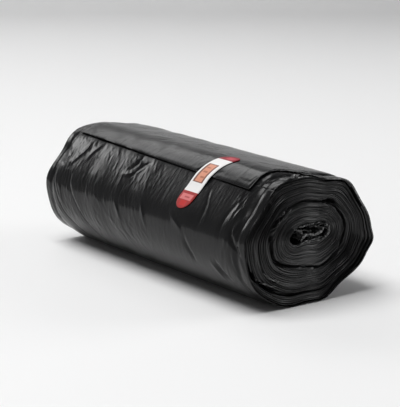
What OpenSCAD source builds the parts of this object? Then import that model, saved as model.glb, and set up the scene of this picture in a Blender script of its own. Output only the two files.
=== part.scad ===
// Bin bag roll: one web of thin film wound flat on itself, held shut by a thin stuck-on label.
// The roll lies along X, its labelled flank faces -Y, and it rests on a flat spot at z = 0.

/* [Roll] */
// Length of the roll from end to end
roll_l = 204; // [120:1:280]
// Width of the roll where it lies, at the near end
roll_w = 91; // [70:1:110]
// Height the roll was wound to at the near end, before it was pressed
wound_h = 78; // [62:1:92]
// How much thicker the far end is than the near one
far_growth = 0.05; // [0:0.01:0.15]
// Depth that the floor presses in
floor_press = 2.8; // [1:0.1:4]
// Film taken off the lowest line by the flat spot that the roll rests on
rest_flat = 0.6; // [0.3:0.05:0.8]

/* [Pressed flats] */
// Direction of the flat under the back flank, from +Y towards +Z
under_dir = -58; // [-68:1:-44]
// Depth of the flat under the back flank
under_press = 4.2; // [1:0.1:7]
// Direction of the flat on the back shoulder
back_dir = 32; // [20:1:45]
// Depth of the flat on the back shoulder
back_press = 1.3; // [0.5:0.1:7]
// Direction of the flat on top
top_dir = 82; // [65:1:95]
// Depth of the flat on top
top_press = 3.1; // [1:0.1:6]
// Direction of the flat on the front shoulder
front_dir = 142; // [130:1:155]
// Depth of the flat on the front shoulder
front_press = 2.6; // [1:0.1:5]
// How crisply one flat turns into the next
crispness = 29; // [8:1:36]
// Direction of the crease where the outer film is pinched along the back
crease_dir = -7; // [-15:1:5]
// How far that crease stands out
crease_h = 3.0; // [0:0.1:4]

/* [Turns] */
// Turns of film that show at each end
turns = 11; // [6:1:12]
// Direction of the free edge of the web at the middle of the roll
free_dir = 131; // [120:1:138]
// How much lower the free edge lies at the near end than at the far end, in degrees
free_slant = 9; // [0:1:14]
// Height of the step at the free edge
wrap_t = 1.0; // [0.7:0.05:1.4]
// Outer turns that lie one such step apart
outer_wraps = 2; // [1:1:3]
// Share of a turn that its film fills, the rest being the gap to the next
film_share = 0.62; // [0.4:0.02:0.75]
// Depth of the gap between two turns
gap_depth = 0.9; // [0.4:0.05:1.5]
// Depth of the open gap round the inner bundle
bundle_gap = 3.2; // [1:0.1:5]
// Turns from the outside in to the gap round the inner bundle
bundle_turn = 6; // [4:1:8]
// How far the web's edge starts back from the near end
near_drift = 16; // [4:0.5:20]
// How far the web's edge starts back from the far end
far_drift = 9; // [4:0.5:20]
// Turns over which the web's edge stays back
drift_from = 0.07; // [0:0.01:0.3]
// Turns in which it then drifts out to the ends
drift_turns = 0.12; // [0.05:0.01:1]
// How far the inner turns stand in and out of line
end_wander = 0.7; // [0:0.1:1.5]

/* [Hollow] */
// Width of the crumpled hollow where the winding starts
hollow_w = 27; // [18:0.5:32]
// Height of the crumpled hollow
hollow_h = 11.5; // [8:0.5:14]
// Height of the hollow's middle above the floor
hollow_z = 39; // [34:0.5:44]
// Slope of the hollow, the back higher
hollow_tilt = 8; // [-15:1:20]
// Depth to which the hollow stays open
hollow_depth = 26; // [12:1:45]
// Share of the hollow's height that the crumpled film closes at its mouth
mouth_pinch = 0.4; // [0:0.05:0.6]
// Share of the hollow's height that the crumpled film closes deeper in
pinch = 0.8; // [0.3:0.05:0.88]

/* [Film] */
// Height of the gathers along the flank
gather_h = 0.7; // [0:0.05:1]
// Distance from one gather to the next
gather_pitch = 24; // [18:1:40]
// How far the gathers slant along the roll
gather_slant = 9; // [0:1:20]
// Height of the puckers round the ends
pucker_h = 0.45; // [0:0.05:0.7]
// Puckers round each end
puckers = 9; // [5:1:11]
// Length over which the film draws in towards an end
rim_l = 16; // [8:1:24]
// Depth by which the film draws in at an end
rim_drop = 1; // [0:0.1:2.5]
// Distance from an end to the fold that runs round it
rim_fold_in = 7; // [4:0.5:10]
// Depth of the fold that runs round each end
rim_fold_h = 0.6; // [0:0.1:1]

/* [Seal label] */
// Width of the label
label_w = 13; // [10:0.5:26]
// Distance of the label's middle from the near end
label_in = 57; // [40:1:90]
// Direction of the label's upper end
label_top_dir = 103; // [85:1:110]
// Direction of the label's lower end
label_low_dir = 164; // [155:1:180]
// How much farther from the near end the label's lower end lies than its upper end
label_slant = 10; // [0:0.5:14]
// Thickness of the label
label_t = 0.25; // [0.15:0.05:0.5]
// Clearance between the label and the film
label_clear = 0.2; // [0.15:0.05:0.4]
// Angle over which the label runs down from the free edge
label_bridge = 14; // [8:1:20]

/* [Hidden] */

film_black = [0.07, 0.07, 0.075];
label_white = [0.93, 0.92, 0.9];

// Steps round one turn, and along the flank between its ends
seg = 45;
mid_rows = 16;
// Steps along the flank near each end, as distances from the web's edge
END_STEPS = [0, 2.5, 5, 7.5, 10, 14, 20];
end_rows = len(END_STEPS);
rows = mid_rows + 2 * end_rows - 2;
// Points across one turn at an end: film edge, film edge, bottom of the gap
across = 3;

// How wide the pinched crease and the pressed underside spread, as shares of a half turn
crease_spread = 0.06;
floor_spread = 0.25;
// Thickness that a film edge keeps where the floor presses it
pressed_t = 0.2;
// Width of the fold that runs round each end
rim_fold_w = 1.8;
// Where the films meet across the hollow: how far that place leans, and its width
meet_lean = 0.25;
meet_w = 0.4;
// Fine and long gathers: share of the height, pitch factor, slant factor, start angle
GATHERS = [[0.6, 1, 1, 20], [0.4, 1.7, -1, 110]];
// How the inner turns stand in and out of line: angle per turn, start at each end
wander_step = 137;
near_wander = 40;
far_wander = 200;

half_w = roll_w / 2;
half_h = wound_h / 2;
near_x = roll_l / 2;
label_x = near_x - label_in;

// Share of the way to the hollow that one outer wrap takes
mean_gap = (half_w + half_h) / 2 - (hollow_w + hollow_h) / 4;
wrap_share = wrap_t / mean_gap;
inner_share = (1 - outer_wraps * wrap_share) / (turns + 1 - outer_wraps);

PRESSES = [
    [-90, floor_press],
    [under_dir, under_press],
    [back_dir, back_press],
    [top_dir, top_press],
    [front_dir, front_press]
];

function lerp(a, b, t) = a + (b - a) * t;
function clamp01(t) = max(0, min(1, t));
function smooth(t) = let (c = clamp01(t)) c * c * (3 - 2 * c);
function total(v, i = 0) = i < len(v) ? v[i] + total(v, i + 1) : 0;

// Outline of the roll: an ellipse cut by soft flats, as a radius in each direction
function reach(dir) = sqrt(pow(half_w * cos(dir), 2) + pow(half_h * sin(dir), 2));
function oval(dir) = 1 / sqrt(pow(cos(dir) / half_w, 2) + pow(sin(dir) / half_h, 2));
function flat(dir, f) =
    let (c = cos(dir - f[0]))
    c < 0.05 ? 0 : pow(c / (reach(f[0]) - f[1]), crispness);
function outline(dir) =
    pow(pow(oval(dir), -crispness) + total([for (f = PRESSES) flat(dir, f)]), -1 / crispness);

function crease(dir) = crease_h * exp(-pow(sin((dir - crease_dir) / 2) / crease_spread, 2));

// Middle of the outline, which puts the roll on the floor and evenly about the X axis.
// The web has wound in a little by the time it passes under the roll.
wound_in = wrap_t * (free_dir + 90) / 360;
reaches = [for (dir = [0:4:356]) (outline(dir) + crease(dir)) * cos(dir)];
centre_y = -(max(reaches) + min(reaches)) / 2;
centre_z = outline(-90) - wound_in - rest_flat;

// Edge of the hollow, drawn together by the share shut where films meet
function hollow(dir, size = 1, shut = mouth_pinch) =
    let (
        meet = exp(-pow((cos(dir) - meet_lean * sin(dir)) / meet_w, 2)),
        a = size * hollow_w / 2 * cos(dir),
        b = size * hollow_h / 2 * sin(dir) * (1 - shut * meet)
    )
    [centre_y + a * cos(hollow_tilt) - b * sin(hollow_tilt),
     hollow_z + a * sin(hollow_tilt) + b * cos(hollow_tilt)];

// Film relief: slanting gathers on the flank, and puckers and a fold at the ends.
// The film lies smooth under the label and on the floor.
function off_floor(dir) = 1 - exp(-pow(sin((dir + 90) / 2) / floor_spread, 2));
function calm(x) = 1 - exp(-pow((x - label_x) / label_w, 4));
function wave(x, dir, g) =
    g[0] * sin(360 * (x + g[2] * gather_slant * sin(dir)) / (g[1] * gather_pitch) + g[3]);
function gathers(x, dir) =
    gather_h * calm(x) * off_floor(dir) * total([for (g = GATHERS) wave(x, dir, g)]);
function end_zone(x) = smooth((abs(x) - near_x + rim_l) / rim_l);
function rim_fold(x) = rim_fold_h * exp(-pow((near_x - abs(x) - rim_fold_in) / rim_fold_w, 2));
function relief(x, dir) =
    (1 - end_zone(x)) * gathers(x, dir) - rim_fold(x) + crease(dir)
    + end_zone(x) * (pucker_h * sin(puckers * dir) - rim_drop);
function growth(x) = 1 + far_growth * (near_x - x) / roll_l;

// Where the web passes after u turns from the free edge
function turn_dir(u, x) = free_dir + free_slant * x / roll_l - 360 * u;
function depth_share(u) =
    u < outer_wraps ? u * wrap_share : outer_wraps * wrap_share + (u - outer_wraps) * inner_share;
function section_point(x, dir, share, lift = 0, lowest = 0) =
    let (
        r = outline(dir) + relief(x, dir) + lift,
        outer = [centre_y + r * cos(dir), centre_z + r * sin(dir)],
        p = growth(x) * lerp(outer, hollow(dir), share)
    )
    [x, p[0], max(lowest, p[1])];
function web_point(x, u, extra = 0) =
    section_point(x, turn_dir(u, x), depth_share(u + extra), 0, pressed_t * extra);

// Ends of the web after u turns, measured from the middle of the roll
function wander(u, start) = end_wander * (1 + sin(wander_step * u + start)) / 2 * smooth(u / 3);
function set_back(u) = 1 - smooth((u - drift_from) / drift_turns);
function web_end(u, drift, start) = near_x - drift * set_back(u) - wander(u, start);
function near_end(u) = web_end(u, near_drift, near_wander);
function far_end(u) = -web_end(u, far_drift, far_wander);
function gap_at(u) = abs(u - bundle_turn) < 0.5 ? bundle_gap : gap_depth;

// One end of the roll as a ribbon of turns; side is 1 at the near end and -1 at the far one
function end_x(u, side) = side > 0 ? near_end(u) : far_end(u);
function gap_x(u, side) =
    side * (min(side * end_x(u, side), side * end_x(u + 1, side)) - gap_at(u));
function edge_points(i, side) =
    let (u = i / seg)
    [
        web_point(end_x(u, side), u),
        web_point(end_x(u, side), u, film_share),
        web_point(gap_x(u, side), u, (1 + film_share) / 2)
    ];
function end_points(side) = concat(
    [for (i = [0:turns * seg]) each edge_points(i, side)],
    [for (i = [turns * seg + 1:(turns + 1) * seg]) web_point(end_x(i / seg, side), i / seg)]
);

// The hollow closes on itself inwards: each row is a depth, a size and a share shut
HOLLOW_ROWS = [
    [0.12, 0.98, (mouth_pinch + pinch) / 2],
    [0.3, 0.92, pinch],
    [0.65, 0.75, pinch],
    [1, 0.4, pinch]
];
hollow_rows = len(HOLLOW_ROWS);
function hollow_x(row, side) = end_x(turns + 1, side) - side * row[0] * hollow_depth;
function hollow_points(side) = [
    for (row = HOLLOW_ROWS)
        for (i = [0:seg - 1])
            let (
                x = hollow_x(row, side),
                p = growth(x) * hollow(turn_dir(i / seg, x), row[1], row[2])
            )
            [x, p[0], p[1]]
];
function hollow_end(side) =
    let (x = hollow_x(HOLLOW_ROWS[hollow_rows - 1], side))
    [x, growth(x) * centre_y, growth(x) * hollow_z];

// Places along the flank, from the far end to the near one
function mid_x(u, t) =
    lerp(far_end(u) + END_STEPS[end_rows - 1], near_end(u) - END_STEPS[end_rows - 1], t);
function row_x(u, k) =
    k < end_rows ? far_end(u) + END_STEPS[k]
    : k > rows - end_rows ? near_end(u) - END_STEPS[rows - k]
    : mid_x(u, (k - end_rows + 1) / mid_rows);
skin_points = [
    for (k = [1:rows - 1])
        for (i = [0:seg])
            web_point(row_x(i / seg, k), i / seg)
];

// Places of the points in one list: near end, far end, flank, near hollow, far hollow
ribbon_n = across * (turns * seg + 1) + seg;
hollow_n = hollow_rows * seg + 1;
function ribbon_id(i, j) =
    j == across ? ribbon_id(i + seg, 0)
    : i <= turns * seg ? across * i + j
    : across * (turns * seg + 1) + i - turns * seg - 1;
function skin_id(k, i) =
    k == rows ? ribbon_id(i, 0)
    : k == 0 ? ribbon_n + ribbon_id(i, 0)
    : 2 * ribbon_n + (k - 1) * (seg + 1) + i;
hollow_start = 2 * ribbon_n + (rows - 1) * (seg + 1);

function quad(a, b, c, d) = [[a, b, c], [a, c, d]];
function turned(faces) = [for (f = faces) [f[2], f[1], f[0]]];

skin_faces = [
    for (k = [0:rows - 1])
        for (i = [0:seg - 1])
            each quad(skin_id(k, i), skin_id(k, i + 1), skin_id(k + 1, i + 1), skin_id(k + 1, i))
];
step_faces = [
    for (k = [0:rows - 1])
        each quad(skin_id(k, 0), skin_id(k + 1, 0), skin_id(k + 1, seg), skin_id(k, seg))
];
// Faces of one end, with its points from start on and its hollow's from deep on
function end_faces(start, deep) =
    let (last = turns * seg)
    [
        for (i = [0:last - 1])
            for (j = [0:across - 1])
                each quad(start + ribbon_id(i, j), start + ribbon_id(i + 1, j),
                    start + ribbon_id(i + 1, j + 1), start + ribbon_id(i, j + 1)),
        for (j = [0:across - 2])
            [start + ribbon_id(0, j), start + ribbon_id(0, j + 1), start + ribbon_id(seg, 0)],
        for (c = [0:seg - 1])
            each quad(start + ribbon_id(last + c, 0), start + ribbon_id(last + c + 1, 0),
                deep + (c + 1) % seg, deep + c),
        for (j = [0:across - 1])
            [deep, start + ribbon_id(last, j + 1), start + ribbon_id(last, j)],
        for (q = [0:hollow_rows - 2])
            for (c = [0:seg - 1])
                each quad(deep + q * seg + c, deep + q * seg + (c + 1) % seg,
                    deep + (q + 1) * seg + (c + 1) % seg, deep + (q + 1) * seg + c),
        for (c = [0:seg - 1])
            [deep + (hollow_rows - 1) * seg + c, deep + (hollow_rows - 1) * seg + (c + 1) % seg,
                deep + hollow_rows * seg]
    ];

module bag_roll() {
    color(film_black)
        polyhedron(
            points = concat(
                end_points(1), end_points(-1), skin_points,
                hollow_points(1), [hollow_end(1)], hollow_points(-1), [hollow_end(-1)]
            ),
            faces = concat(
                skin_faces, step_faces,
                end_faces(0, hollow_start),
                turned(end_faces(ribbon_n, hollow_start + hollow_n))
            ),
            convexity = 6
        );
}

// The label follows the film, and runs down gently where the free edge drops away
label_steps = 24;
label_turn_r = (half_w + half_h) / 2;
label_end_angle = label_w / 2 / label_turn_r * 180 / PI;
END_ANGLES = [20, 42, 65];
label_free_dir = turn_dir(0, label_x);
function film_under(dir) =
    let (past = dir - label_free_dir)
    wrap_share * (past < 0 ? -past / 360 : smooth(past / label_bridge) * (1 - past / 360));
function label_middle(dir) =
    label_x - label_slant * ((dir - label_top_dir) / (label_low_dir - label_top_dir) - 0.5);
// Rows along the label: direction and half width, with round ends
label_rows = concat(
    [for (b = END_ANGLES) [label_top_dir + label_end_angle * (1 - cos(b)), label_w / 2 * sin(b)]],
    [for (s = [0:label_steps])
        [lerp(label_top_dir + label_end_angle, label_low_dir - label_end_angle, s / label_steps),
            label_w / 2]],
    [for (b = [END_ANGLES[2], END_ANGLES[1], END_ANGLES[0]])
        [label_low_dir - label_end_angle * (1 - cos(b)), label_w / 2 * sin(b)]]
);
// Points across the label on one face
label_cols = 4;
function label_face_points(lift) = [
    for (r = label_rows)
        for (c = [0:label_cols])
            section_point(label_middle(r[0]) + r[1] * (2 * c / label_cols - 1), r[0],
                film_under(r[0]), lift)
];
label_last = len(label_rows) - 1;
label_face_n = len(label_rows) * (label_cols + 1);
function label_id(r, c, face) = face * label_face_n + r * (label_cols + 1) + c;
label_faces = [
    for (r = [0:label_last - 1])
        for (c = [0:label_cols - 1])
            for (face = [0:1])
                let (q = quad(label_id(r, c, face), label_id(r, c + 1, face),
                    label_id(r + 1, c + 1, face), label_id(r + 1, c, face)))
                each (face == 1 ? q : turned(q)),
    for (r = [0:label_last - 1])
        each quad(label_id(r, 0, 0), label_id(r, 0, 1), label_id(r + 1, 0, 1), label_id(r + 1, 0, 0)),
    for (r = [0:label_last - 1])
        each turned(quad(label_id(r, label_cols, 0), label_id(r, label_cols, 1),
            label_id(r + 1, label_cols, 1), label_id(r + 1, label_cols, 0))),
    for (c = [0:label_cols - 1])
        each turned(quad(label_id(0, c, 0), label_id(0, c, 1),
            label_id(0, c + 1, 1), label_id(0, c + 1, 0))),
    for (c = [0:label_cols - 1])
        each quad(label_id(label_last, c, 0), label_id(label_last, c, 1),
            label_id(label_last, c + 1, 1), label_id(label_last, c + 1, 0))
];

module seal_label() {
    color(label_white)
        polyhedron(
            points = concat(
                label_face_points(label_clear), label_face_points(label_clear + label_t)
            ),
            faces = label_faces
        );
}

bag_roll();
seal_label();
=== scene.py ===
import bpy
import numpy as np
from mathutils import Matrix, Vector


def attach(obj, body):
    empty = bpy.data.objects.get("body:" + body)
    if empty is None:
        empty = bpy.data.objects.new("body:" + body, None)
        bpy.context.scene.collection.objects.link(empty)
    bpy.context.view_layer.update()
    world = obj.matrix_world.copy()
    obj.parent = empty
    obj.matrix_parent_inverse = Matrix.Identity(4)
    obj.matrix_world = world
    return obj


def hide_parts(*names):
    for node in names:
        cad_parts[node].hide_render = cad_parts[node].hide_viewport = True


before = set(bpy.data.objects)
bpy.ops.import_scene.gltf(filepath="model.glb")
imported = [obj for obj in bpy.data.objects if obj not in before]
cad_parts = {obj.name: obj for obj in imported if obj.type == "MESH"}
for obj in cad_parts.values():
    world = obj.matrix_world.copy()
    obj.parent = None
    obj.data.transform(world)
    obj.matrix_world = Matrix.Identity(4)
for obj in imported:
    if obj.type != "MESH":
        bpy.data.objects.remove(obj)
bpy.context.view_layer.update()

# Outer film: the last turn of the web of black polythene film, as it lies round the roll.
# It is blown film, folded flat into bags and wound on itself, so it is creased all over.
# Its free edge lies along the front, and its cut edges run round both ends.
MM = 0.001
roll_l = 204
half_w = 45.5
half_h = 39
near_x = roll_l / 2
far_growth = 0.05
rest_flat = 0.6
# Flats that the film is pressed to: direction from +Y towards +Z in degrees, and depth
PRESSES = [(-90, 2.8), (-58, 4.2), (32, 1.3), (82, 3.1), (142, 2.6)]
crispness = 29
crease_dir = -7
crease_h = 3.0
crease_spread = 0.06
turns = 11
free_dir = 131
free_slant = 9
wrap_t = 1.0
outer_wraps = 2
near_drift = 16
far_drift = 9
drift_from = 0.07
drift_turns = 0.12
end_wander = 0.7
wander_step = 137
wander_turns = 3
near_wander = 40
far_wander = 200
hollow_w = 27
hollow_h = 11.5
hollow_z = 39
hollow_tilt = 8
mouth_pinch = 0.4
meet_lean = 0.25
meet_w = 0.4
gather_h = 0.2
gather_pitch = 24
gather_slant = 9
# The gathers are drawn flat on top, and from here on towards the near end
flat_top_dir = 100
flat_from_x = -10
flat_over = 30
# Fine and long gathers: share of the height, pitch factor, slant factor, start angle
GATHERS = [(0.6, 1, 1, 20), (0.4, 1.7, -1, 110)]
floor_spread = 0.25
pucker_h = 0.45
puckers = 9
rim_l = 16
rim_drop = 1
rim_fold_in = 7
rim_fold_h = 0.6
rim_fold_w = 1.8
label_w = 13
label_in = 57
label_x = near_x - label_in
label_top_dir = 103
label_low_dir = 164
label_slant = 10

# The turns further in bend more gently: angles that a bend is spread over, and shares inwards
BEND_SPREAD = range(-24, 25, 8)
bend_from = 0.03
bend_over = 0.5

mean_gap = (half_w + half_h) / 2 - (hollow_w + hollow_h) / 4
wrap_share = wrap_t / mean_gap
inner_share = (1 - outer_wraps * wrap_share) / (turns + 1 - outer_wraps)


def cosd(a):
    return np.cos(np.radians(a))


def sind(a):
    return np.sin(np.radians(a))


def smooth(t):
    c = np.clip(t, 0, 1)
    return c * c * (3 - 2 * c)


def rumple(a, b, seed):
    """Smooth random heights from -1 to 1, with bumps one unit apart."""
    lattice = np.random.default_rng(seed).uniform(-1, 1, (64, 64))
    a, b = np.broadcast_arrays(np.asarray(a, float), np.asarray(b, float))
    i = np.floor(a).astype(int)
    j = np.floor(b).astype(int)
    s = smooth(a - i)
    t = smooth(b - j)
    low = lattice[i % 64, j % 64] * (1 - s) + lattice[(i + 1) % 64, j % 64] * s
    high = lattice[i % 64, (j + 1) % 64] * (1 - s) + lattice[(i + 1) % 64, (j + 1) % 64] * s
    return low * (1 - t) + high * t


def outline(d):
    oval = (cosd(d) / half_w) ** 2 + (sind(d) / half_h) ** 2
    total = oval ** (crispness / 2)
    for at, press in PRESSES:
        reach = np.hypot(half_w * cosd(at), half_h * sind(at))
        total = total + (np.maximum(cosd(d - at), 0.05) / (reach - press)) ** crispness
    return total ** (-1 / crispness)


def pinch_ridge(d):
    return crease_h * np.exp(-(sind((d - crease_dir) / 2) / crease_spread) ** 2)


# Middle of the roll, which puts it on the floor and evenly about the X axis
reaches = [(outline(d) + pinch_ridge(d)) * cosd(d) for d in range(0, 360, 4)]
centre_y = -(max(reaches) + min(reaches)) / 2
centre_z = float(outline(-90)) - wrap_t * (free_dir + 90) / 360 - rest_flat


def growth(x):
    return 1 + far_growth * (near_x - x) / roll_l


def off_floor(d):
    return 1 - np.exp(-(sind((d + 90) / 2) / floor_spread) ** 2)


def calm(x):
    return 1 - np.exp(-((x - label_x) / label_w) ** 4)


def facing(d, middle, spread):
    """1 where the film faces the middle direction, fading round from there."""
    return np.exp(-(sind((d - middle) / 2) / spread) ** 2)


def gathers(x, d):
    total = 0
    for share, pitch, slant, start in GATHERS:
        phase = 360 * (x + slant * gather_slant * sind(d)) / (pitch * gather_pitch) + start
        total = total + share * sind(phase)
    loose_top = 1 - 0.75 * facing(d, flat_top_dir, 0.25)
    loose = loose_top * (1 - 0.85 * smooth((x - flat_from_x) / flat_over))
    return gather_h * loose * calm(x) * off_floor(d) * total


def relief(x, d):
    end_zone = smooth((np.abs(x) - near_x + rim_l) / rim_l)
    rim_fold = rim_fold_h * np.exp(-((near_x - np.abs(x) - rim_fold_in) / rim_fold_w) ** 2)
    puckering = end_zone * (pucker_h * sind(puckers * d) - rim_drop)
    return (1 - end_zone) * gathers(x, d) - rim_fold + pinch_ridge(d) + puckering


def hollow(d, size=1.0, shut=mouth_pinch):
    meet = np.exp(-((cosd(d) - meet_lean * sind(d)) / meet_w) ** 2)
    a = size * hollow_w / 2 * cosd(d)
    b = size * hollow_h / 2 * sind(d) * (1 - shut * meet)
    y = centre_y + a * cosd(hollow_tilt) - b * sind(hollow_tilt)
    z = hollow_z + a * sind(hollow_tilt) + b * cosd(hollow_tilt)
    return y, z


def turn_dir(u, x):
    return free_dir + free_slant * x / roll_l - 360 * u


def depth_share(u):
    inner = outer_wraps * wrap_share + (u - outer_wraps) * inner_share
    return np.where(u < outer_wraps, u * wrap_share, inner)


def rounder(d):
    """How much less the inner turns reach out at the corners, where they bend more gently."""
    around = [outline(d + k) + pinch_ridge(d + k) for k in BEND_SPREAD]
    return outline(d) + pinch_ridge(d) - sum(around) / len(BEND_SPREAD)


def section_point(x, d, share, lift=0.0):
    """Points at x, in direction d, that share of the way from the outline to the hollow."""
    r = outline(d) + relief(x, d) + lift - smooth((share - bend_from) / bend_over) * rounder(d)
    hollow_y, hollow_height = hollow(d)
    y = growth(x) * ((1 - share) * (centre_y + r * cosd(d)) + share * hollow_y)
    z = growth(x) * ((1 - share) * (centre_z + r * sind(d)) + share * hollow_height)
    return np.stack(np.broadcast_arrays(x, y, np.maximum(z, 0)), -1)


def web_end(u, side):
    """Distance of the web's edge from the middle of the roll after u turns."""
    drift = near_drift if side > 0 else far_drift
    start = near_wander if side > 0 else far_wander
    wander = end_wander * (1 + sind(wander_step * u + start)) / 2 * smooth(u / wander_turns)
    return near_x - drift * (1 - smooth((u - drift_from) / drift_turns)) - wander


# Length of film once round the roll
film_round = 262
# How far the free edge stands off the turn under it, and over what length
free_lift = 0.35
free_lift_l = 5
# The film is held flatter beside the free edge, and at the sides of the label
edge_hold_l = 7
label_hold_w = 0.5
label_hold_fade = 2.5
# Shallow rumples: height, length of a bump along the roll and round it, and seed
RUMPLES = [(0.06, 13, 30, 3), (0.03, 4, 13, 4)]
# They are fainter low on the flank, from the middle to the near end
smooth_flank_dir = 190
smooth_flank_x = -20
smooth_flank_l = 40
# Bands of creases. Distances round the roll go from the free edge the way the film is wound.
CREASE_BANDS = [
    # count, x from, x to, round from, round to, length, angle, spread, width, height
    (400, -98, 10, 208, 262, 10, -34, 13, 0.6, 0.13),
    (60, -10, 60, 215, 262, 12, -30, 16, 0.8, 0.04),
    (110, -96, 30, 150, 225, 22, 28, 14, 0.9, 0.06),
    (40, 20, 100, 150, 225, 22, 22, 12, 1.1, 0.045),
    (40, 80, 101, 185, 262, 26, 4, 12, 1.1, 0.08),
    (80, -99, 84, 0, 75, 16, -14, 26, 0.9, 0.08),
    (80, 0, 88, 2, 42, 13, 76, 14, 0.8, 0.12),
    (60, -99, 0, 2, 42, 20, 66, 16, 1.0, 0.13),
    (120, -99, 99, 70, 175, 22, 6, 24, 1.4, 0.17),
    (50, -101, -76, 190, 262, 11, -22, 18, 0.8, 0.14),
    (60, 82, 101, 196, 262, 17, 6, 10, 0.7, 0.13),
    (55, 85, 102, 1, 46, 17, 14, 9, 0.8, 0.34),
    (22, 95, 101.5, 18, 30, 6, 42, 16, 0.9, 1.1),
    (16, -101, -84, 2, 16, 9, -36, 22, 1.0, 0.3),
]
# Creases that show singly: x and direction of both ends, width and height (valleys below zero)
SINGLE_CREASES = [
    (-16.5, 130, -20.5, 147, 1.4, -0.8),
    (-4.5, 137, -17.5, 151, 1.5, -0.7),
    (-9.0, 141, -26.0, 153, 1.8, 0.5),
    (-21, 172, -15, 189, 1.6, 0.5),
    (2.5, 168, 13, 183, 1.7, 0.5),
    (34, 165, 46, 182, 1.9, 0.5),
    (56.5, 144, 60.5, 174, 1.1, -0.4),
    (59.5, 146, 63.5, 170, 1.3, 0.25),
    (51, 182, 55, 200, 1.8, -0.8),
    (77, 192, 84, 208, 2.0, -0.9),
    (72, 194, 78, 210, 1.8, 0.5),
    (84, 137, 85, 162, 1.8, 0.2),
    (89, 164, 97, 186, 2.0, -1.0),
    (94, 150, 92, 178, 1.5, 0.3),
    (80, 150, 82, 176, 1.4, -0.3),
    (-62, 128, -66, 150, 2.2, 0.5),
    (-74, 133, -80, 158, 2.0, 0.5),
]
# Direction just below the free edge where it lies lowest
edge_low_dir = free_dir - free_slant / 2 - 0.5
# Long lines where the edge of a folded bag shows through, as x and direction
FOLD_LINES = [
    [
        (-94, 138), (-97.5, 150), (-97.5, 162), (-93, 171),
        (-87.5, 184), (-83, 197.5), (-77.5, 208), (-70, 222),
    ],
    [(-76, 162), (-73, 172.5), (-66.5, 183), (-59, 196.5), (-53, 208.5), (-44, 224)],
]
# Each is a step up that dies away over a length, with a narrow groove at its foot
fold_step_h = 0.45
fold_step_w = 0.35
fold_fade_l = 9
fold_groove_h = 0.5
fold_groove_w = 0.7


def crease_height(x, s, middle_x, middle_s, length, angle, width, height):
    """A ridge with a sharp side and a soft side, which sways a little and fades at both ends."""
    along = cosd(angle) * (s - middle_s) + sind(angle) * (x - middle_x)
    across = cosd(angle) * (x - middle_x) - sind(angle) * (s - middle_s)
    across = across + 0.08 * length * np.sin(along / length * 4 + middle_s)
    fade = np.clip(1 - (2 * along / length) ** 2, 0, 1) ** 1.5
    side = np.where(across > 0, across / (0.45 * width), across / (0.9 * width))
    return height * fade * np.exp(-np.abs(side) ** 1.4)


def under_label(x, d):
    """1 where the label holds the film flat, and 0 away from it."""
    middle = label_x - label_slant * ((d - label_top_dir) / (label_low_dir - label_top_dir) - 0.5)
    side = 1 - smooth((np.abs(x - middle) - label_w / 2 - label_hold_w) / label_hold_fade)
    ends = smooth((d - label_top_dir + 6) / 5) * (1 - smooth((d - label_low_dir - 1) / 3))
    return side * ends


def film_creases(x, u):
    d = turn_dir(u, x)
    s = film_round * u
    rng = np.random.default_rng(11)
    total = sum(high * rumple(x / along, s / about, seed) for high, along, about, seed in RUMPLES)
    smooth_flank = facing(d, smooth_flank_dir, 0.3) * smooth((x - smooth_flank_x) / smooth_flank_l)
    total = total * (1 - 0.6 * smooth_flank)
    for count, x0, x1, s0, s1, length, angle, spread, width, height in CREASE_BANDS:
        for _ in range(count):
            place = (rng.uniform(x0, x1), rng.uniform(s0, s1))
            long = length * rng.uniform(0.5, 1.6)
            lean = angle + spread * rng.normal()
            wide = width * rng.uniform(0.6, 1.5)
            high = height * rng.uniform(0.35, 1.5) * rng.choice([-0.8, 1, 1])
            near = (np.abs(x - place[0]) < long) & (np.abs(s - place[1]) < long)
            total[near] += crease_height(x[near], s[near], *place, long, lean, wide, high)
    for x0, d0, x1, d1, wide, high in SINGLE_CREASES:
        # Directions below the free edge lie at the end of the turn
        further = 360 if d0 > edge_low_dir else 0
        s0 = film_round * (free_dir + free_slant * x0 / roll_l - d0 + further) / 360
        s1 = film_round * (free_dir + free_slant * x1 / roll_l - d1 + further) / 360
        long = 1.25 * np.hypot(x1 - x0, s1 - s0)
        lean = np.degrees(np.arctan2(x1 - x0, s1 - s0))
        lean = (lean + 90) % 180 - 90
        total += crease_height(x, s, (x0 + x1) / 2, (s0 + s1) / 2, long, lean, wide, high)
    for line in FOLD_LINES:
        line_x = [p[0] for p in line]
        line_d = [p[1] for p in line]
        turn_d = d + 360
        across = x - np.interp(turn_d, line_d, line_x)
        inside = smooth((turn_d - line_d[0]) / 6) * (1 - smooth((turn_d - line_d[-1] + 8) / 8))
        step = fold_step_h * (1 / (1 + np.exp(-across / fold_step_w)) - 1)
        step = step * np.exp(-np.clip(-across, 0, 40) / fold_fade_l)
        total += inside * (step - fold_groove_h * np.exp(-(across / fold_groove_w) ** 2))
    from_free = np.minimum(s, np.abs(film_round - s))
    total *= 0.35 + 0.65 * smooth(from_free / edge_hold_l)
    total += free_lift * (1 - smooth(s / free_lift_l))
    return total * (1 - 0.93 * under_label(x, np.where(d < 0, d + 360, d))) * off_floor(d)


def add_mesh(name, points, faces, uv):
    """A mesh piece from points in millimetres, smooth shaded, with places on the film as its UV."""
    mesh = bpy.data.meshes.new(name)
    mesh.from_pydata((np.asarray(points) * MM).tolist(), [], faces)
    mesh.polygons.foreach_set("use_smooth", [True] * len(mesh.polygons))
    layer = mesh.uv_layers.new(name="film_mm")
    corner = np.zeros(len(mesh.loops), int)
    mesh.loops.foreach_get("vertex_index", corner)
    layer.data.foreach_set("uv", np.asarray(uv, np.float32)[corner].ravel())
    mesh.update()
    piece = bpy.data.objects.new(name, mesh)
    bpy.context.scene.collection.objects.link(piece)
    return piece


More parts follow.
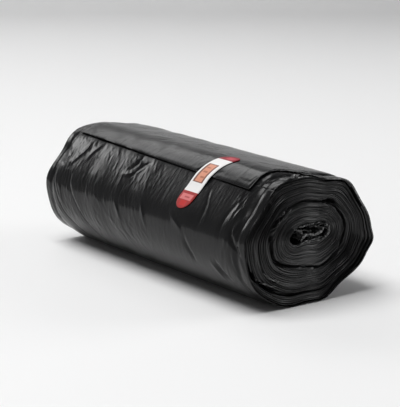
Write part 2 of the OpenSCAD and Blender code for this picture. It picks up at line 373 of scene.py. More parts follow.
def grid_faces(rows, cols, start=0, turned=False):
    """Quads of a grid of rows by cols points, numbered along each row."""
    k, i = np.meshgrid(np.arange(rows - 1), np.arange(cols - 1), indexing="ij")
    a = (start + k * cols + i).ravel()
    quads = np.stack([a, a + 1, a + cols + 1, a + cols], -1)
    return (quads[:, ::-1] if turned else quads).tolist()


def strip_faces(fine, coarse):
    """Triangles between a fine row of points and a coarse one with the same two ends."""
    faces = []
    step = (len(fine) - 1) / (len(coarse) - 1)
    at = 0
    for i in range(len(fine) - 1):
        faces.append([fine[i], fine[i + 1], coarse[at]])
        if at < len(coarse) - 1 and i + 1 >= (at + 0.5) * step:
            faces.append([fine[i + 1], coarse[at + 1], coarse[at]])
            at += 1
    return faces


film_cols = 300
film_rows = 270
lining_rows = 14
# The film goes this many times round, so its end is tucked under its free edge
film_end = 1.02
# Thickness at the cut edges, what it gains away from them, where it is hidden, and at the near lip
film_t = 0.18
hidden_t = 1.1
lip_t = 0.85
lip_dir = 30
u = np.linspace(0, film_end, film_cols)[None, :]
t = np.linspace(0, 1, film_rows)[:, None]


def film_x(u, t):
    return -web_end(u, -1) + t * (web_end(u, 1) + web_end(u, -1))


x = film_x(u, t)
all_u = np.broadcast_to(u, x.shape)
skin = section_point(x, turn_dir(u, x), depth_share(all_u), film_creases(x, all_u))
# The underside has fewer rows, as only its edges show, by the thickness of the film
t_in = np.concatenate([
    [0, 0.012, 0.04], np.linspace(0.1, 0.9, lining_rows - 6), [0.96, 0.988, 1],
])[:, None]
x_in = film_x(u, t_in)
u_in = np.broadcast_to(u, x_in.shape)
edge_in = smooth(np.minimum(t_in, 1 - t_in) / 0.06) * smooth(u_in / 0.04)
edge_creases = film_creases(x_in, u_in)
near_lip = facing(turn_dir(u_in, x_in), lip_dir, 0.5) * (u_in < 0.75) * (x_in > 0)
lining_t = film_t + hidden_t * edge_in + lip_t * near_lip * (1 - edge_in)
lining_lift = edge_creases * (1 - edge_in) - lining_t
lining = section_point(x_in, turn_dir(u_in, x_in), depth_share(u_in), lining_lift)
skin_n = film_rows * film_cols
skin_id = np.arange(skin_n).reshape(film_rows, film_cols)
lining_id = skin_n + np.arange(len(t_in) * film_cols).reshape(len(t_in), film_cols)
faces = grid_faces(film_rows, film_cols, 0, turned=True) + grid_faces(len(t_in), film_cols, skin_n)
for i in range(film_cols - 1):
    faces.append([skin_id[0, i], skin_id[0, i + 1], lining_id[0, i + 1], lining_id[0, i]])
    faces.append([lining_id[-1, i], lining_id[-1, i + 1], skin_id[-1, i + 1], skin_id[-1, i]])
faces += strip_faces(list(skin_id[:, -1]), list(lining_id[:, -1]))
faces += [f[::-1] for f in strip_faces(list(skin_id[:, 0]), list(lining_id[:, 0]))]
faces = [[int(v) for v in f] for f in faces]
film_uv = np.concatenate([
    np.stack([x, film_round * all_u], -1).reshape(-1, 2),
    np.stack([x_in, film_round * u_in], -1).reshape(-1, 2),
])
outer_film = add_mesh(
    "outer_film", np.concatenate([skin.reshape(-1, 3), lining.reshape(-1, 3)]), faces, film_uv
)


def add_node(owner, kind, x, y, **values):
    node = owner.node_tree.nodes.new(kind)
    node.location = (x, y)
    for name, value in values.items():
        if name in node.inputs:
            node.inputs[name].default_value = value
        else:
            setattr(node, name, value)
    return node


def link(owner, source, output, target, socket):
    owner.node_tree.links.new(source.outputs[output], target.inputs[socket])


def set_ramp(node, *stops):
    for element, (position, colour) in zip(node.color_ramp.elements, stops):
        element.position = position
        element.color = (*colour, 1)


def new_material(name):
    material = bpy.data.materials.new(name)
    material.use_nodes = True
    return material, material.node_tree.nodes["Principled BSDF"]


# Black polythene: soft gloss that comes and goes, and faint streaks the way the film was drawn
black_film, film_shader = new_material("black_polythene_film")
film_shader.inputs["IOR"].default_value = 1.31
film_place = add_node(black_film, "ShaderNodeUVMap", -1400, 0, uv_map="film_mm")
drawn = add_node(black_film, "ShaderNodeMapping", -1200, 0)
drawn.inputs["Scale"].default_value = (1.0, 0.22, 1.0)
link(black_film, film_place, "UV", drawn, "Vector")
haze = add_node(black_film, "ShaderNodeTexNoise", -950, 200, Scale=0.09, Detail=3.0)
link(black_film, drawn, "Vector", haze, "Vector")
film_colour = add_node(black_film, "ShaderNodeValToRGB", -700, 300)
set_ramp(film_colour, (0.3, (0.004, 0.004, 0.0043)), (0.75, (0.0075, 0.0075, 0.008)))
link(black_film, haze, "Fac", film_colour, "Fac")
link(black_film, film_colour, "Color", film_shader, "Base Color")
film_gloss = add_node(black_film, "ShaderNodeMapRange", -700, 50)
film_gloss.inputs["To Min"].default_value = 0.15
film_gloss.inputs["To Max"].default_value = 0.26
link(black_film, haze, "Fac", film_gloss, "Value")
link(black_film, film_gloss, "Result", film_shader, "Roughness")
streaks = add_node(black_film, "ShaderNodeTexNoise", -950, -200, Scale=0.5, Detail=3.0)
streaks.inputs["Roughness"].default_value = 0.55
link(black_film, drawn, "Vector", streaks, "Vector")
streak_bump = add_node(black_film, "ShaderNodeBump", -500, -200, Strength=0.5, Distance=0.0002)
link(black_film, streaks, "Fac", streak_bump, "Height")
link(black_film, streak_bump, "Normal", film_shader, "Normal")

# Painted highlight film: paler in patches and shinier, painted for the glints at cut edges, in
# folds and where winding began
painted_highlight_film, highlight_shader = new_material("painted_highlight_film")
highlight_shader.inputs["Roughness"].default_value = 0.2
highlight_place = add_node(painted_highlight_film, "ShaderNodeUVMap", -1000, 0, uv_map="film_mm")
highlight_noise = add_node(painted_highlight_film, "ShaderNodeTexNoise", -750, 0, Scale=0.25, Detail=3.0)
link(painted_highlight_film, highlight_place, "UV", highlight_noise, "Vector")
highlight_colour = add_node(painted_highlight_film, "ShaderNodeValToRGB", -450, 0)
set_ramp(highlight_colour, (0.4, (0.010, 0.010, 0.0105)), (0.64, (0.2, 0.2, 0.2)))
link(painted_highlight_film, highlight_noise, "Fac", highlight_colour, "Fac")
link(painted_highlight_film, highlight_colour, "Color", highlight_shader, "Base Color")

outer_film.data.materials.append(black_film)
outer_film.data.materials.append(painted_highlight_film)
# After the faces of both sides, those of the far and the near edge follow by turns
first_strip = (film_rows - 1 + len(t_in) - 1) * (film_cols - 1)
film_slots = np.zeros(len(faces), int)
# The near lip's faces take the painted highlight film: a painted highlight for the light its thin
# rim catches
film_slots[first_strip + 1:first_strip + 2 * (film_cols - 1):2] = near_lip[-1, 1:] > 0.25
outer_film.data.polygons.foreach_set("material_index", film_slots)
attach(outer_film, "root")
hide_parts("bag_roll")

# Wound film: all the turns under the outer one, wound tight and flattened.
# It is the same web of film. The cut edges of its folded plies make the lines on both ends,
# with open gaps where a bundle of turns has slipped, and the hollow where winding began.
gap_depth = 0.9
hollow_depth = 26
pinch = 0.8
turn_steps = 320
wound_from = 1
# How far the turns stand back: under the outer one all round, and at the right and left sides
outer_back = 0.8
right_back = 5.0
right_dir = 15
left_back = 1.4
left_dir = 195
# How far they waver in and out, as a share of a turn
waver = 0.07
# How far the inner bundle stands out
bundle_out = 0.6
# One bundle stands back at the far end: its turn, and how far
far_bundle_turn = 6
far_bundle_back = 2.4
# How unevenly the edges of the plies lie
ply_ripple = 0.45
# Share of the outer film's creases that shows in the turn under it
under_share = 0.7
# The turns hidden this far from the ends are drawn in, clear of the outer film
hidden_in = 1.2
hidden_from = 30
hidden_over = 10
tuck_in = 0.25
# Points across one ply: the groove beside it, a shoulder, its edge, and the other shoulder
ply_points = 4
near_across = 3 * ply_points
far_across = 2 * ply_points
# The open gap round the inner bundle: direction, turns from the outside, depth, half width in turns
GAP_RING = np.array([
    (0, 7.9, 4.2, 0.42), (30, 7.5, 4.4, 0.42), (43, 7.2, 5.0, 0.45), (50, 7.0, 7.0, 0.7),
    (57, 6.9, 6.5, 0.6), (68, 6.9, 2.6, 0.2), (103, 6.8, 2.2, 0.17), (120, 6.9, 2.2, 0.17),
    (134, 7.6, 2.8, 0.25), (150, 7.0, 3.6, 0.3), (178, 7.7, 5.5, 0.5), (205, 7.8, 6.5, 0.55),
    (228, 8.1, 4.4, 0.32), (249, 8.1, 3.0, 0.18), (294, 7.3, 2.6, 0.18), (318, 7.5, 3.0, 0.24),
    (333, 7.6, 3.6, 0.34), (360, 7.9, 4.2, 0.42),
])
# The narrower gap near the rim, round the left and below, in the same way
GAP_RIM = np.array([
    (110, 2.2, 0, 0.2), (139, 2.7, 1.6, 0.18), (156, 1.3, 2.2, 0.25), (176, 1.7, 3.2, 0.3),
    (193, 2.5, 4.0, 0.28), (215, 3.3, 4.5, 0.3), (238, 3.6, 4.5, 0.28), (258, 3.5, 3.0, 0.2),
    (285, 3.3, 1.4, 0.15), (300, 3.3, 0, 0.15),
])
# Folds of film that stand out at the near end: directions and turns of both ends, height
STANDING_FOLDS = [(202, 4.6, 229, 5.2, 1.1), (206, 3.3, 228, 4.2, 1.2), (300, 3.2, 330, 4.0, 0.6)]
# Above this height a fold, or a crease in the crumpled place on top of the near rim, is painted
# pale as a highlight
highlight_fold_h = 0.4
highlight_crease_h = 0.3
crumple_from_x = 94.5
crumple_dir = 97
# Rows along the side, as distances from the web's edge; only those near the ends ever show
SIDE_ROWS = [
    0.7, 1.4, 2.1, 2.8, 3.6, 4.5, 5.5, 6.5, 7.5, 8.5,
    9.5, 10.5, 11.5, 12.5, 13.5, 15, 17, 20, 24,
]
side_middle_rows = 4


def wobble(v, d):
    """How far the turns waver in and out, the same wherever two turns touch."""
    return waver * rumple(v * 1.7 + 2.2 * cosd(d), 2.2 * sind(d), 31)


def standing_folds(d, v):
    total = 0
    for d0, v0, d1, v1, high in STANDING_FOLDS:
        along = (np.mod(d, 360) - d0) / (d1 - d0)
        line = np.exp(-((v - v0 - (v1 - v0) * along) / 0.12) ** 2)
        total = total + high * line * smooth(along / 0.2) * smooth((1 - along) / 0.2)
    return total


def slipped(u, v):
    """How far bundles of turns have slipped back from the near end."""
    d = turn_dir(u, near_x)
    back = 0
    for table in (GAP_RIM, GAP_RING):
        about, *columns = table.T
        place, depth, half = [np.interp(np.mod(d, 360), about, column) for column in columns]
        back = back + depth * np.exp(-np.abs((v - place) / half) ** 3)
    # From here on, place is that of the gap round the inner bundle
    under = v - wound_from - np.mod(u - wound_from, 1)
    opening = smooth((under - 0.2) / 0.1)
    right = facing(d, right_dir, 0.45) * opening * (1 - smooth((under - 0.9) / 0.3))
    left = facing(d, left_dir, 0.42) * opening * (1 - smooth((under - 1.8) / 0.8))
    back = back + right_back * right + left_back * left
    back = back + outer_back * (1 - smooth(under - 1))
    back = back - bundle_out * smooth((v - place + 0.1) / 0.6)
    return back - standing_folds(d, v)


def ply_edge(u, j, across, side):
    """Distance of the end's surface from the middle of the roll, across one turn."""
    share = j / across
    ply = j // ply_points
    seed = 50 if side > 0 else 90
    # The plies spread more at both sides, where the film bends round
    sideways = cosd(turn_dir(u, side * near_x)) ** 2
    next_edge = web_end(u + 1, side) - web_end(u, side)
    edge = web_end(u, side) + next_edge * smooth((share - 0.6) / 0.4)
    far_slip = far_bundle_back * (np.abs(u - far_bundle_turn) < 0.5) * (ply > 0)
    edge = edge - (slipped(u, u + share) if side > 0 else far_slip)
    edge = edge + ply_ripple * rumple(u * 9.4 + 13.3 * ply, 0.5 + ply, seed)
    last_ply = ply == across // ply_points - 1
    edge = edge - gap_depth * last_ply * (0.7 + 0.5 * rumple(u * 5.3, 9.5, seed + 2))
    groove = 0.5 + 2.4 * np.clip(rumple(u * 3.37 + 7.7 * ply, 3.5 + ply, seed + 1) + 0.2, 0, 1)
    first_groove = np.where(j > 0, 1, smooth((u - wound_from - 0.9) / 0.1))
    groove = groove * (0.7 + 3.2 * sideways) * first_groove
    groove = groove * (1 - 0.5 * (1 - sideways) * smooth((u + share - 7) / 0.5))
    shoulder = np.minimum(0.1 + 0.4 * sideways, groove)
    place = j % ply_points
    return edge - np.where(place == 0, groove, np.where(place == 2, 0, shoulder))


def end_ribbon(across, side):
    """Points of the turns at one end, from the outside in, then one more ring at the hollow."""
    last = (turns - wound_from) * turn_steps
    i = np.arange(last + 1)[:, None]
    j = np.arange(across)[None, :]
    u = wound_from + i / turn_steps
    x = side * ply_edge(u, j, across, side)
    v = u + j / across
    d = turn_dir(u, x)
    fade = smooth((v - wound_from) / 1.5) * smooth((turns + 1 - v) / 1.5)
    points = section_point(x, d, depth_share(v + fade * wobble(v, d)))
    i = np.arange(last + 1, last + turn_steps + 1)
    u = wound_from + i / turn_steps
    x = side * web_end(u, side)
    fade = smooth((turns + 1 - u) / 1.5)
    inner = section_point(x, turn_dir(u, x), depth_share(u + fade * wobble(u, turn_dir(u, x))))
    return np.concatenate([points.reshape(-1, 3), inner])


def hollow_wall(side):
    """Points of the hollow from its mouth inwards, closing on itself, and its inner end."""
    depths = np.array([0.03, 0.07, 0.12, 0.18, 0.24, 0.3, 0.4, 0.52, 0.65, 0.82, 1.0])[:, None]
    size = np.interp(depths, [0, 0.12, 0.3, 0.65, 1], [1, 0.98, 0.92, 0.75, 0.4])
    half_shut = (mouth_pinch + pinch) / 2
    shut = np.interp(depths, [0, 0.12, 0.3, 1], [mouth_pinch, half_shut, pinch, pinch])
    i = np.arange(turn_steps)[None, :]
    x = side * (web_end(turns + 1, side) - depths * hollow_depth) + 0 * i
    d = turn_dir(i / turn_steps, x)
    crumple = rumple(2.6 * cosd(d) + depths * 3, 2.6 * sind(d) + 7, 41)
    crumple = crumple + 0.5 * rumple(6 * cosd(d) + depths * 5, 6 * sind(d) + 9, 42)
    y, z = hollow(d, size * (1 + 0.10 * crumple * smooth(depths / 0.1)), shut)
    points = np.stack([x, growth(x) * y, growth(x) * z], -1).reshape(-1, 3)
    end = [x[-1, 0], growth(x[-1, 0]) * centre_y, growth(x[-1, 0]) * hollow_z]
    return np.concatenate([points, [end]]), len(depths)


def ribbon_place(i, j, across):
    """Place in the list of a point of an end; the next turn follows on the last strip."""
    last = (turns - wound_from) * turn_steps
    if j == across:
        i, j = i + turn_steps, 0
    return across * i + j if i <= last else across * (last + 1) + i - last - 1


def ends_of_web(across, start, deep, wall_rows):
    """Faces of one end, with its points from start on and its hollow's from deep on."""
    last = (turns - wound_from) * turn_steps
    made = []
    for i in range(last):
        for j in range(across):
            made.append([
                start + ribbon_place(i, j, across), start + ribbon_place(i + 1, j, across),
                start + ribbon_place(i + 1, j + 1, across), start + ribbon_place(i, j + 1, across),
            ])
    for j in range(across - 1):
        made.append([
            start + ribbon_place(0, j, across), start + ribbon_place(0, j + 1, across),
            start + ribbon_place(turn_steps, 0, across),
        ])
    for c in range(turn_steps):
        made.append([
            start + ribbon_place(last + c, 0, across),
            start + ribbon_place(last + c + 1, 0, across),
            deep + (c + 1) % turn_steps, deep + c,
        ])
    for j in range(across):
        made.append([
            deep, start + ribbon_place(last, j + 1, across), start + ribbon_place(last, j, across),
        ])
    for q in range(wall_rows - 1):
        for c in range(turn_steps):
            a = deep + q * turn_steps
            b = a + turn_steps
            made.append([a + c, a + (c + 1) % turn_steps, b + (c + 1) % turn_steps, b + c])
    a = deep + (wall_rows - 1) * turn_steps
    for c in range(turn_steps):
        made.append([a + c, a + (c + 1) % turn_steps, a + turn_steps])
    return made


near_points = end_ribbon(near_across, 1)
far_points = end_ribbon(far_across, -1)
near_wall, wall_rows = hollow_wall(1)
far_wall, wall_rows = hollow_wall(-1)
u = wound_from + np.arange(turn_steps + 1)[None, :] / turn_steps
far_side_rows = -web_end(u, -1) + np.array(SIDE_ROWS)[:, None]
near_side_rows = web_end(u, 1) - np.array(SIDE_ROWS)[::-1, None]
across_middle = np.linspace(0, 1, side_middle_rows + 2)[1:-1, None]
middle_rows = far_side_rows[-1:] * (1 - across_middle) + near_side_rows[:1] * across_middle
x = np.concatenate([far_side_rows, middle_rows, near_side_rows])
all_u = np.broadcast_to(u, x.shape)
tucked = -tuck_in * (1 - smooth((all_u - wound_from - 0.015) / 0.02))
sunk = -hidden_in * smooth((near_x - hidden_from - np.abs(x)) / hidden_over)
side_relief = under_share * film_creases(x, all_u - wound_from) + tucked + sunk
lifted = 1 - smooth(film_round * (all_u - wound_from) / free_lift_l)
side_relief -= under_share * free_lift * lifted
side_points = section_point(x, turn_dir(all_u, x), depth_share(all_u), side_relief)

far_start = len(near_points)
side_start = far_start + len(far_points)
near_deep = side_start + x.size
far_deep = near_deep + len(near_wall)
side_count = x.shape[0]


def side_place(k, i):
    if k == side_count + 1:
        return ribbon_place(i, 0, near_across)
    if k == 0:
        return far_start + ribbon_place(i, 0, far_across)
    return side_start + (k - 1) * (turn_steps + 1) + i


faces = []
for k in range(side_count + 1):
    for i in range(turn_steps):
        faces.append([
            side_place(k, i), side_place(k, i + 1), side_place(k + 1, i + 1), side_place(k + 1, i),
        ])
    faces.append([
        side_place(k, 0), side_place(k + 1, 0),
        side_place(k + 1, turn_steps), side_place(k, turn_steps),
    ])
faces += ends_of_web(near_across, 0, near_deep, wall_rows)
faces += [f[::-1] for f in ends_of_web(far_across, far_start, far_deep, wall_rows)]
faces = [f[::-1] for f in faces]
wound_points = np.concatenate([
    near_points, far_points, side_points.reshape(-1, 3), near_wall, far_wall,
])
turn_pitch = inner_share * mean_gap


def wound_uv():
    """Places on the film in millimetres: on the ends inwards, or else along, and round it."""
    places = []
    for across, side in ((near_across, 1), (far_across, -1)):
        last = (turns - wound_from) * turn_steps
        i = np.arange(last + 1)[:, None]
        j = np.arange(across)[None, :]
        u = wound_from + i / turn_steps
        inwards, about = np.broadcast_arrays(turn_pitch * (u + j / across), film_round * u)
        places.append(np.stack([inwards, about], -1).reshape(-1, 2))
        u = wound_from + np.arange(last + 1, last + turn_steps + 1) / turn_steps
        places.append(np.stack([turn_pitch * u, film_round * u], -1))
    places.append(np.stack([x, film_round * all_u], -1).reshape(-1, 2))
    for wall in (near_wall, far_wall):
        places.append(np.stack([wall[:, 0], np.arange(len(wall)) % turn_steps * 0.25], -1))
    return np.concatenate(places)


wound_film = add_mesh("wound_film", wound_points, faces, wound_uv())
wound_film.data.materials.append(black_film)

# Film edges: the same film seen edge on, as hundreds of thin plies side by side
film_edges, edge_shader = new_material("film_edges")
edge_shader.inputs["IOR"].default_value = 1.48
edge_place = add_node(film_edges, "ShaderNodeUVMap", -1300, 0, uv_map="film_mm")
edge_lines = add_node(film_edges, "ShaderNodeMapping", -1100, 0)
edge_lines.inputs["Scale"].default_value = (1.2, 0.012, 1.0)
link(film_edges, edge_place, "UV", edge_lines, "Vector")
edge_noise = add_node(film_edges, "ShaderNodeTexNoise", -850, 0, Scale=1.0, Detail=3.0)
edge_noise.inputs["Roughness"].default_value = 0.6
link(film_edges, edge_lines, "Vector", edge_noise, "Vector")
# Here and there a ply is pale, partly the film's own paleness and partly a painted highlight for
# light caught by the ply edges, and the inner plies are painted paler than the outer ones
pale_plies_and_glints = add_node(film_edges, "ShaderNodeValToRGB", -600, 500)
set_ramp(pale_plies_and_glints, (0.55, (0.005, 0.005, 0.0055)), (0.66, (0.08, 0.08, 0.081)))
link(film_edges, edge_noise, "Fac", pale_plies_and_glints, "Fac")
edge_axes = add_node(film_edges, "ShaderNodeSeparateXYZ", -1100, 700)
link(film_edges, edge_place, "UV", edge_axes, "Vector")
# Painted highlight: the inner plies are made paler to stand for the brighter light they catch
painted_inner_light = add_node(film_edges, "ShaderNodeMapRange", -850, 700)
painted_inner_light.inputs["From Min"].default_value = 7 * turn_pitch
painted_inner_light.inputs["From Max"].default_value = 8 * turn_pitch
painted_inner_light.inputs["To Max"].default_value = 0.02
link(film_edges, edge_axes, "X", painted_inner_light, "Value")
edge_colour = add_node(film_edges, "ShaderNodeVectorMath", -300, 500, operation="ADD")
link(film_edges, pale_plies_and_glints, "Color", edge_colour, 0)
link(film_edges, painted_inner_light, "Result", edge_colour, 1)
link(film_edges, edge_colour, "Vector", edge_shader, "Base Color")
edge_bump = add_node(film_edges, "ShaderNodeBump", -400, -150, Strength=0.9, Distance=0.0005)
link(film_edges, edge_noise, "Fac", edge_bump, "Height")
link(film_edges, edge_bump, "Normal", edge_shader, "Normal")
edge_gloss = add_node(film_edges, "ShaderNodeMapRange", -600, 100)
edge_gloss.inputs["To Min"].default_value = 0.2
edge_gloss.inputs["To Max"].default_value = 0.42
link(film_edges, edge_noise, "Fac", edge_gloss, "Value")
link(film_edges, edge_gloss, "Result", edge_shader, "Roughness")
wound_film.data.materials.append(film_edges)
wound_film.data.materials.append(painted_highlight_film)
# The faces of the sides come first, then those of the near end and of the far end
side_faces = (side_count + 1) * (turn_steps + 1)
ply_faces = (turns - wound_from) * turn_steps
face_slots = np.zeros(len(faces), int)
i = np.arange(ply_faces)[:, None]
j = np.arange(near_across)[None, :]
face_u = wound_from + (i + 0.5) / turn_steps
folds = standing_folds(turn_dir(face_u, near_x), face_u + (j + 0.5) / near_across)
near_plies = slice(side_faces, side_faces + ply_faces * near_across)
# Plies of the near end take the film edge material, and those on a standing fold the painted
# highlight film
face_slots[near_plies] = np.where(folds > highlight_fold_h, 2, 1).ravel()
# Creases in the crumpled place on top of the near rim also take the painted highlight film
crumple_place = (x > crumple_from_x) & (facing(turn_dir(all_u, x), crumple_dir, 0.07) > 0.5)
crumpled = (side_relief > highlight_crease_h) & crumple_place
for k, i in zip(*np.nonzero(crumpled[1:, :turn_steps])):
    face_slots[(k + 2) * (turn_steps + 1) + i] = 2
far_first = side_faces + ply_faces * near_across + (near_across - 1) + turn_steps + near_across
far_first += (wall_rows - 1) * turn_steps + turn_steps
face_slots[far_first:far_first + ply_faces * far_across] = 1
wound_film.data.polygons.foreach_set("material_index", face_slots)
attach(wound_film, "root")
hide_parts("bag_roll")

# Crumpled start of the web: the first few folds of film, bunched in the hollow at each end.
# They are loose plies of the same film, squeezed into a bent S with a dark pocket on each side.
STRANDS = [
    # points across the hollow as y and z, how far in its mouth lies, how deep it runs, thickness
    ([
        (-7.2, 36.3), (-4.9, 38.0), (-2.4, 38.5), (0.6, 38.1),
        (3.2, 37.7), (6.0, 38.6), (7.6, 39.8), (8.6, 40.8),
    ], -0.4, 14, 1.5),
    ([
        (-13.8, 40.6), (-11.8, 42.4), (-9.0, 42.2), (-6.6, 41.0),
        (-5.6, 39.2), (-6.4, 37.4),
    ], 0.5, 12, 0.7),
    ([(2.6, 42.6), (5.0, 42.0), (7.0, 42.4), (8.8, 43.2)], 0.8, 12, 0.7),
    ([(-8.4, 33.4), (-4.6, 34.2), (0.0, 34.1), (5.0, 34.2), (9.4, 34.9)], 0.0, 12, 0.9),
    ([(-6.4, 34.8), (-2.6, 35.3), (1.6, 35.0), (6.0, 35.4), (9.6, 36.0)], 0.3, 12, 0.8),
    ([(-4.6, 36.1), (-1.6, 36.5), (1.6, 35.9), (5.0, 36.4), (8.6, 37.0)], 3.0, 12, 0.7),
    ([(-8.0, 43.3), (-3.0, 43.9), (1.0, 43.8), (6.4, 44.6)], 0.2, 12, 0.9),
    ([(-6.0, 42.2), (-2.0, 42.8), (1.2, 42.2), (4.0, 42.6)], 1.5, 12, 0.7),
    ([(-8.2, 40.5), (-5.2, 41.0), (-2.8, 40.5), (-0.8, 39.8), (1.8, 40.0)], 1.6, 12, 0.7),
    ([
        (9.8, 43.2), (11.2, 42.2), (12.6, 40.4), (12.7, 38.4),
        (11.6, 36.6), (10.2, 35.4),
    ], -0.2, 12, 1.3),
]
strand_cols = 60
strand_rows = 20
# How far a ply is pushed about, in large and in small crumples, and how uneven its mouth is
large_crumple = 0.35
small_crumple = 0.12
mouth_crumple = 0.7
core_in = 0.4


def rounded(line, count):
    """A smooth line through the given points, as count points."""
    line = np.array(line, float)
    ends = np.vstack([2 * line[0] - line[1], line, 2 * line[-1] - line[-2]])
    t = np.linspace(0, len(line) - 1 - 1e-9, count)
    i = t.astype(int)
    f = (t - i)[:, None]
    p0, p1, p2, p3 = ends[i], ends[i + 1], ends[i + 2], ends[i + 3]
    return 0.5 * (
        2 * p1 + (p2 - p0) * f + (2 * p0 - 5 * p1 + 4 * p2 - p3) * f ** 2
        + (3 * p1 - p0 - 3 * p2 + p3) * f ** 3
    )


for side, end_name in ((1, "near"), (-1, "far")):
    strand_points = []
    strand_faces = []
    strand_uv = []
    for n, (line, mouth, depth, thick) in enumerate(STRANDS):
        cross = rounded(line, strand_cols)
        along = np.linspace(0, 1, strand_rows)[:, None] ** 1.8
        tangent = np.gradient(cross, axis=0)
        tangent /= np.linalg.norm(tangent, axis=1)[:, None]
        normal = np.stack([-tangent[:, 1], tangent[:, 0]], -1)
        walk = np.linspace(0, 6, strand_cols)[None, :]
        push = large_crumple * rumple(walk + 3 * n, along * 4 + n, 60 + n)
        push = push + small_crumple * rumple(walk * 3 + n, along * 9 + n, 70 + n)
        inset = mouth + mouth_crumple * rumple(walk * 1.9 + 5 * n, 0.5, 80 + n) + depth * along
        swell = 0.55 + 0.45 * np.sqrt(smooth(along / 0.06)) - 0.6 * smooth((along - 0.1) / 0.6)
        half_t = thick / 2 * swell
        x = side * (near_x - core_in - inset)
        start = len(strand_points)
        for face in (1, -1):
            y = cross[None, :, 0] + normal[None, :, 0] * (push + face * half_t)
            z = cross[None, :, 1] + normal[None, :, 1] * (push + face * half_t)
            if side < 0:
                y = 2 * centre_y - y
            grid = np.stack([x, growth(x) * y, growth(x) * z], -1)
            strand_points += grid.reshape(-1, 3).tolist()
            places = np.stack(np.broadcast_arrays(walk * 5, along * depth), -1)
            strand_uv += places.reshape(-1, 2).tolist()
        count = strand_rows * strand_cols
        strand_faces += grid_faces(strand_rows, strand_cols, start)
        strand_faces += grid_faces(strand_rows, strand_cols, start + count, turned=True)
        last_row = (strand_rows - 1) * strand_cols
        rim = list(range(0, last_row, strand_cols)) + list(range(last_row, last_row + strand_cols))
        rim += list(range(last_row - 1, 0, -strand_cols)) + list(range(strand_cols - 2, 0, -1))
        for a, b in zip(rim, rim[1:] + rim[:1]):
            strand_faces.append([start + a, start + b, start + count + b, start + count + a])
    core_film = add_mesh("core_film_" + end_name, strand_points, strand_faces, strand_uv)
    # The plies in the hollow take the painted highlight film, for the glints along the bent S
    core_film.data.materials.append(painted_highlight_film)
    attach(core_film, "root")

# Seal label: a strip of white plastic film with round ends, printed and coated with adhesive.
# It is stuck round the roll across the free edge to hold the film shut.
label_t = 0.25
label_clear = 0.2
# Over how many degrees past the free edge the label bridges the step down
label_bridge = 14
label_turn_r = (half_w + half_h) / 2
label_end_angle = np.degrees(label_w / 2 / label_turn_r)
label_cols = 17
label_rows = 70
label_ripple = 0.05
tip_angles = np.array([6, 14, 24, 36, 48, 60, 74])
label_d = np.concatenate([
    label_top_dir + label_end_angle * (1 - cosd(tip_angles)),
    np.linspace(label_top_dir + label_end_angle, label_low_dir - label_end_angle, label_rows),
    label_low_dir - label_end_angle * (1 - cosd(tip_angles[::-1])),
])[:, None]
label_half = np.concatenate([
    label_w / 2 * sind(tip_angles), np.full(label_rows, label_w / 2),
    label_w / 2 * sind(tip_angles[::-1]),
])[:, None]
across = np.linspace(-1, 1, label_cols)[None, :]
middle = label_x - label_slant * ((label_d - label_top_dir) / (label_low_dir - label_top_dir) - 0.5)
x = middle + label_half * across
past = label_d - turn_dir(0, label_x)
under = wrap_share * np.where(past < 0, -past / 360, smooth(past / label_bridge) * (1 - past / 360))
ripple = label_ripple * rumple(x / 5, label_d / 7, 95)
label_points = section_point(x, label_d, under, label_clear + label_t + ripple)
along = label_turn_r * np.radians(label_d - label_top_dir)
label_uv = np.stack(np.broadcast_arrays(label_half * across, along), -1)
seal_label = add_mesh(
    "printed_seal_label", label_points.reshape(-1, 3),
    grid_faces(len(label_d), label_cols, 0, turned=True), label_uv.reshape(-1, 2),
)
label_solid = seal_label.modifiers.new("film thickness", "SOLIDIFY")
label_solid.thickness = label_t * MM
label_solid.offset = -1
printed, print_shader = new_material("printed_white_film")
print_shader.inputs["Roughness"].default_value = 0.42
print_shader.inputs["IOR"].default_value = 1.38
print_place = add_node(printed, "ShaderNodeUVMap", -1700, 0, uv_map="film_mm")
print_axes = add_node(printed, "ShaderNodeSeparateXYZ", -1500, 0)
link(printed, print_place, "UV", print_axes, "Vector")
label_l = label_turn_r * np.radians(label_low_dir - label_top_dir)
# Printed fields: colour, then from and to across the label and along it, in millimetres
PRINT_FIELDS = [
    ((0.33, 0.022, 0.022), -20, 20, label_l - 10.7, label_l + 2),
    ((0.27, 0.010, 0.022), -20, 20, -2, 7.7),
    ((0.50, 0.07, 0.09), -2.5, 3.5, 2.6, 6.2),
    ((0.62, 0.17, 0.17), -5.2, 4.8, label_l - 8.9, label_l - 5.2),
    ((0.38, 0.06, 0.06), -1.8, 2.4, label_l - 7.4, label_l - 6.5),
    ((0.47, 0.016, 0.014), -2.6, 2.6, label_l - 4.8, label_l - 1.6),
    ((0.21, 0.09, 0.065), -5.0, 3.7, 14, 28),
    ((0.64, 0.28, 0.18), -3.5, 2.4, 14.6, 27.4),
    ((0.40, 0.15, 0.09), -2.6, 1.2, 20.0, 21.2),
    ((0.40, 0.15, 0.09), -1.2, 2.0, 23.8, 24.9),
    ((0.40, 0.15, 0.09), -2.8, 0.4, 17.0, 17.8),
]
field = None
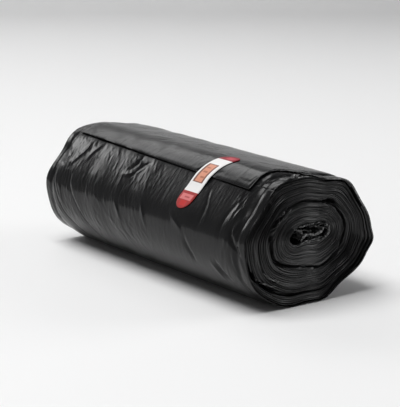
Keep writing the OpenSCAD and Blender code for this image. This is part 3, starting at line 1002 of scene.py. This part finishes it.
for row, (colour, *limits) in enumerate(PRINT_FIELDS):
    tests = zip(("X", "X", "Y", "Y"), ("GREATER_THAN", "LESS_THAN") * 2, limits)
    inside = None
    for k, (axis, kind, limit) in enumerate(tests):
        test = add_node(printed, "ShaderNodeMath", -1300 + 60 * k, -260 * row, operation=kind)
        test.inputs[1].default_value = limit
        link(printed, print_axes, axis, test, 0)
        if inside is not None:
            both = add_node(printed, "ShaderNodeMath", -1000 + 60 * k, -260 * row)
            both.operation = "MULTIPLY"
            link(printed, inside, 0, both, 0)
            link(printed, test, 0, both, 1)
            test = both
        inside = test
    mix = add_node(printed, "ShaderNodeMixRGB", -500, -260 * row)
    mix.inputs["Color1"].default_value = (0.80, 0.79, 0.78, 1)
    mix.inputs["Color2"].default_value = (*colour, 1)
    link(printed, inside, 0, mix, "Fac")
    if field is not None:
        link(printed, field, 0, mix, "Color1")
    field = mix
link(printed, field, 0, print_shader, "Base Color")
print_grain = add_node(printed, "ShaderNodeTexNoise", -700, 300, Scale=2.2, Detail=3.0)
link(printed, print_place, "UV", print_grain, "Vector")
print_bump = add_node(printed, "ShaderNodeBump", -400, 300, Strength=0.12, Distance=0.0002)
link(printed, print_grain, "Fac", print_bump, "Height")
link(printed, print_bump, "Normal", print_shader, "Normal")
seal_label.data.materials.append(printed)
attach(seal_label, "root")
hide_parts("seal_label")

# Floor, light and camera, which are not part of the roll.
# The floor is a wide pale sheet that rises behind, lit by broad soft lamps.
floor_reach = 4
floor_rings = 40
floor_steps = 96
sweep_dir = np.radians(165)
sweep_from = 2.0
sweep_rise = 1.6
floor_points = []
for k in range(floor_rings + 1):
    out = floor_reach * k / floor_rings
    rise = sweep_rise * max(0, out - sweep_from) ** 2
    for i in range(floor_steps):
        a = 2 * np.pi * i / floor_steps
        behind = float(smooth((np.cos(a - sweep_dir) - 0.7) / 0.25))
        floor_points.append((out * np.cos(a), out * np.sin(a), rise * behind))
floor_faces = []
for k in range(floor_rings):
    for i in range(floor_steps):
        a = k * floor_steps
        b = a + floor_steps
        after = (i + 1) % floor_steps
        floor_faces.append([a + i, b + i, b + after, a + after])
floor_mesh = bpy.data.meshes.new("floor")
floor_mesh.from_pydata(floor_points, [], floor_faces)
floor_mesh.polygons.foreach_set("use_smooth", [True] * len(floor_mesh.polygons))
floor = bpy.data.objects.new("floor", floor_mesh)
bpy.context.scene.collection.objects.link(floor)
pale_floor, floor_shader = new_material("pale_floor")
floor_shader.inputs["Base Color"].default_value = (0.85, 0.85, 0.85, 1)
floor_shader.inputs["Roughness"].default_value = 0.7
floor.data.materials.append(pale_floor)


def add_softbox(name, place, aim, size, power):
    lamp = bpy.data.lights.new(name, "AREA")
    lamp.shape = "RECTANGLE"
    lamp.size = size[0]
    lamp.size_y = size[1]
    lamp.energy = power
    box = bpy.data.objects.new(name, lamp)
    box.location = place
    box.rotation_mode = "QUATERNION"
    box.rotation_quaternion = (Vector(aim) - Vector(place)).to_track_quat("-Z", "Y")
    bpy.context.scene.collection.objects.link(box)


roll_middle = Vector((0, 0, 0.037))
add_softbox("top_softbox", (-0.2, -0.7, 2.3), roll_middle, (1.6, 1.6), 57)
add_softbox("left_softbox", (-1.93, -0.4, 1.0), roll_middle, (0.5, 0.42), 3.3)
add_softbox("high_softbox", (-1.72, 0.46, 1.45), roll_middle, (1.0, 0.7), 4.8)
add_softbox("back_softbox", (0.67, 1.65, 0.72), roll_middle, (1.1, 1.0), 10)

world = bpy.data.worlds.new("studio")
bpy.context.scene.world = world
world.use_nodes = True
background = world.node_tree.nodes["Background"]
# A broad low glow on the front left, as from a large reflector, which fades out all round
sky_place = add_node(world, "ShaderNodeTexCoord", -900, 0)
glow = add_node(world, "ShaderNodeVectorMath", -650, 0, operation="DOT_PRODUCT")
glow.inputs[1].default_value = Vector((-0.62, -0.68, -0.39)).normalized()
sky = add_node(world, "ShaderNodeValToRGB", -400, 0)
sky.color_ramp.interpolation = "B_SPLINE"
set_ramp(sky, (0.4, (0.08, 0.08, 0.082)), (1.0, (0.42, 0.42, 0.42)))
link(world, sky_place, "Generated", glow, 0)
link(world, glow, "Value", sky, "Fac")
link(world, sky, "Color", background, "Color")

camera_data = bpy.data.cameras.new("camera")
camera = bpy.data.objects.new("camera", camera_data)
bpy.context.scene.collection.objects.link(camera)
camera.location = (0.629, -0.451, 0.208)
camera.rotation_mode = "QUATERNION"
camera.rotation_quaternion = (roll_middle - camera.location).to_track_quat("-Z", "Y")
camera_data.sensor_width = 36
camera_data.lens = 118
camera_data.clip_start = 0.01
bpy.context.scene.camera = camera

view = bpy.context.scene.view_settings
view.view_transform = "Standard"
